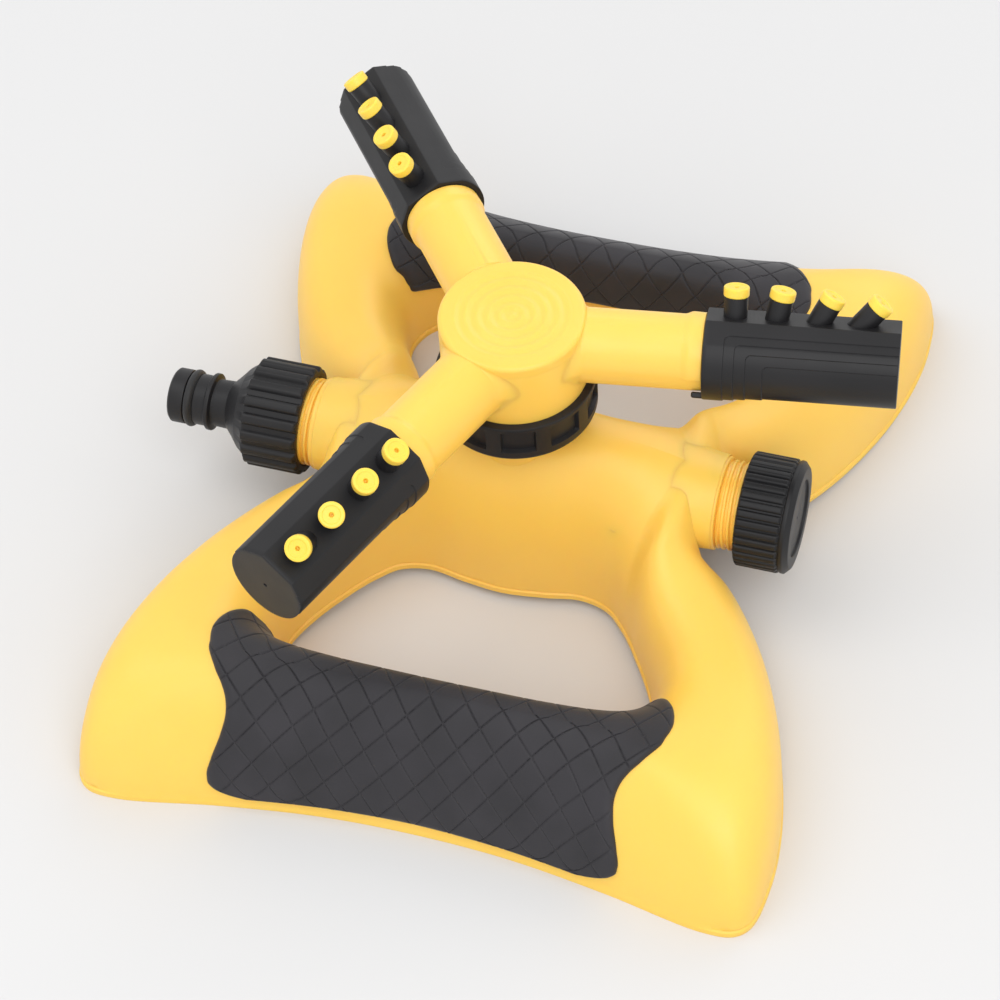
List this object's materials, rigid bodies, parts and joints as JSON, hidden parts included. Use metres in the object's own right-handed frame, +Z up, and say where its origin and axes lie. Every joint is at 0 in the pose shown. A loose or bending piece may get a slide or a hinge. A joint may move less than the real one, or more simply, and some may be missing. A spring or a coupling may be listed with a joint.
{
  "type": "rotating lawn sprinkler",
  "caption": "Rotating lawn sprinkler: a rotor with swivelling nozzle barrels on a low butterfly base with soft-grip carrying bars, a hose connector on one spout and an end cap on the other.",
  "frame": {"origin": "on the ground, under the rotor's axis, at the middle of the base", "axes": "+Z up along the rotor's axis; -X along the water pipe towards the hose inlet; +Y towards the rear carrying bar"},
  "size_m": [0.2178, 0.244, 0.1074],
  "materials": {
    "yellow_shell": "satin moulded polypropylene",
    "yellow_pipe": "satin moulded acetal or ABS",
    "yellow_rotor": "satin moulded plastic",
    "yellow_nozzle": "satin moulded plastic",
    "black_plastic": "satin moulded plastic",
    "soft_grip": "matt soft-touch elastomer with diamond grooves",
    "seal_rubber": "matt",
    "white_slip": "smooth low-friction plastic",
    "screw_steel": "zinc plated",
    "filter_steel": "fine perforated sheet"
  },
  "bodies": {
    "base": {"base_shell": "yellow_shell", "front_grip": "soft_grip", "rear_grip": "soft_grip", "water_tee": "yellow_pipe", "tee_screws": "screw_steel", "spindle": "black_plastic", "spindle_gasket": "seal_rubber", "spindle_o_ring": "seal_rubber"},
    "rotor": {"rotor_hub": "yellow_rotor", "hub_cap": "yellow_rotor", "rotor_nut": "black_plastic", "lower_slip_washer": "white_slip", "upper_slip_washer": "white_slip", "arm_o_ring_1": "seal_rubber", "arm_o_ring_2": "seal_rubber", "arm_o_ring_3": "seal_rubber"},
    "barrel_1": {"arm_barrel_1": "black_plastic", "nozzle_1_1": "yellow_nozzle", "nozzle_1_2": "yellow_nozzle", "nozzle_1_3": "yellow_nozzle", "nozzle_1_4": "yellow_nozzle"},
    "barrel_2": {"arm_barrel_2": "black_plastic", "nozzle_2_1": "yellow_nozzle", "nozzle_2_2": "yellow_nozzle", "nozzle_2_3": "yellow_nozzle", "nozzle_2_4": "yellow_nozzle"},
    "barrel_3": {"arm_barrel_3": "black_plastic", "nozzle_3_1": "yellow_nozzle", "nozzle_3_2": "yellow_nozzle", "nozzle_3_3": "yellow_nozzle", "nozzle_3_4": "yellow_nozzle"},
    "inlet_seal": {"inlet_washer": "seal_rubber", "inlet_filter": "filter_steel"},
    "inlet_coupling": {"inlet_connector": "black_plastic", "inlet_o_ring": "seal_rubber"},
    "cap_seal": {"end_cap_washer": "seal_rubber"},
    "cap": {"end_cap": "black_plastic"}
  },
  "joints": [
    {"name": "rotor_spin", "type": "hinge", "parent": "base", "child": "rotor", "pos_m": [0, 0, 0.08], "axis": [0, 0, 1], "continuous": true},
    {"name": "barrel_1_swivel", "type": "hinge", "parent": "rotor", "child": "barrel_1", "pos_m": [0.0573, 0.00897, 0.088], "axis": [0.988, 0.1547, 0], "range_deg": [-32, 58]},
    {"name": "barrel_2_swivel", "type": "hinge", "parent": "rotor", "child": "barrel_2", "pos_m": [-0.03642, 0.04514, 0.088], "axis": [-0.628, 0.7782, 0], "range_deg": [-32, 58]},
    {"name": "barrel_3_swivel", "type": "hinge", "parent": "rotor", "child": "barrel_3", "pos_m": [-0.02088, -0.05411, 0.088], "axis": [-0.36, -0.933, 0], "range_deg": [-32, 58]},
    {"name": "inlet_travel", "type": "slide", "parent": "base", "child": "inlet_seal", "axis": [-1, 0, 0], "range_m": [0, 0.0082]},
    {"name": "inlet_turn", "type": "hinge", "parent": "inlet_seal", "child": "inlet_coupling", "pos_m": [-0.072, 0, 0.034], "axis": [-1, 0, 0], "range_deg": [0, 1620]},
    {"name": "cap_travel", "type": "slide", "parent": "base", "child": "cap_seal", "axis": [1, 0, 0], "range_m": [0, 0.0082]},
    {"name": "cap_turn", "type": "hinge", "parent": "cap_seal", "child": "cap", "pos_m": [0.076, 0, 0.034], "axis": [1, 0, 0], "range_deg": [0, 1620]}
  ],
  "couplings": [
    {"joint": "inlet_travel", "follows": "inlet_turn", "m_per_rad": 0.00028871},
    {"joint": "cap_travel", "follows": "cap_turn", "m_per_rad": 0.00028871}
  ]
}
